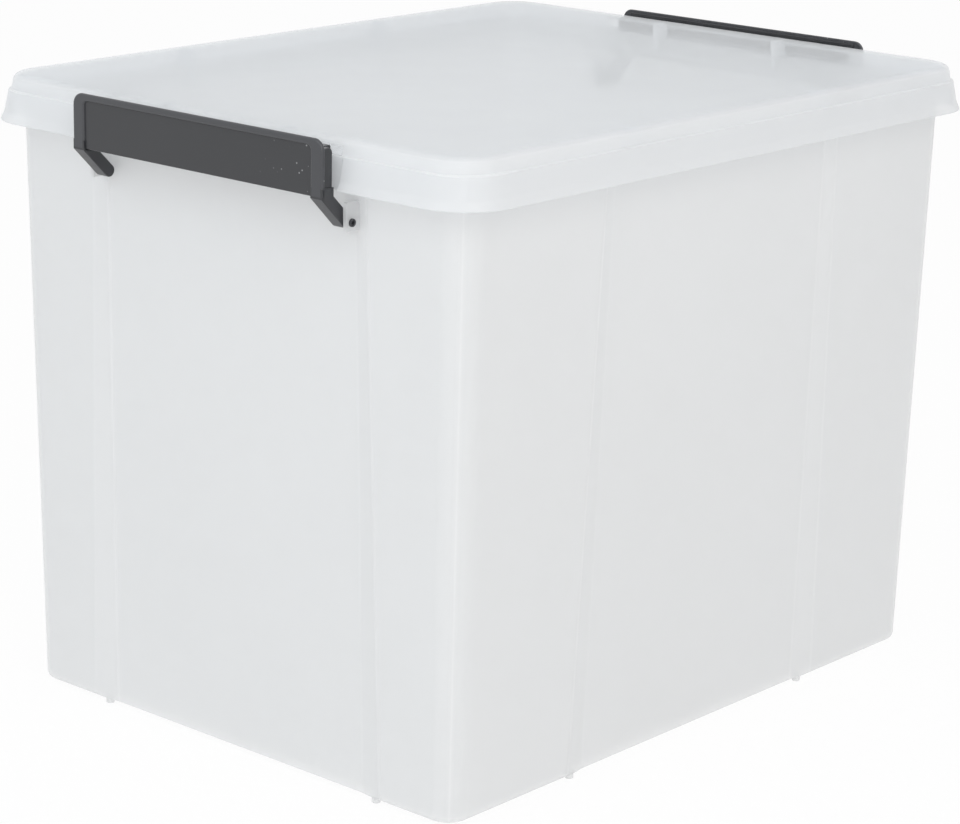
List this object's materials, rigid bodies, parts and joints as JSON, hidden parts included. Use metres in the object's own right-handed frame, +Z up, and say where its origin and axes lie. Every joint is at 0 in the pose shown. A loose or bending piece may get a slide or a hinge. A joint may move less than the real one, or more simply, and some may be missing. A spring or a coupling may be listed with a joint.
{
  "type": "stackable storage box",
  "caption": "Translucent stackable storage box: a tapered tub with recessed wall panels, a lift-off lid with a flared lip, and a dark hinged clip handle on each short end.",
  "frame": {"origin": "middle of the floor that the box stands on, under its feet", "axes": "+X along the long side towards the right clip, +Y along the short side, +Z up"},
  "size_m": [0.5196, 0.4022, 0.3974],
  "materials": {
    "translucent": "milky translucent polypropylene, satin",
    "charcoal": "fine-grained satin"
  },
  "bodies": {
    "tub": {"tub": "translucent"},
    "lid": {"lid": "translucent"},
    "left_clip": {"left_clip": "charcoal"},
    "right_clip": {"right_clip": "charcoal"}
  },
  "joints": [
    {"name": "lid_lift", "type": "slide", "parent": "tub", "child": "lid", "axis": [0, 0, 1], "range_m": [0, 0.15]},
    {"name": "left_clip_hinge", "type": "hinge", "parent": "tub", "child": "left_clip", "pos_m": [-0.2393, 0, 0.3487], "axis": [0, -1, 0], "range_deg": [-3, 138]},
    {"name": "right_clip_hinge", "type": "hinge", "parent": "tub", "child": "right_clip", "pos_m": [0.2393, 0, 0.3487], "axis": [0, 1, 0], "range_deg": [-3, 138]}
  ]
}
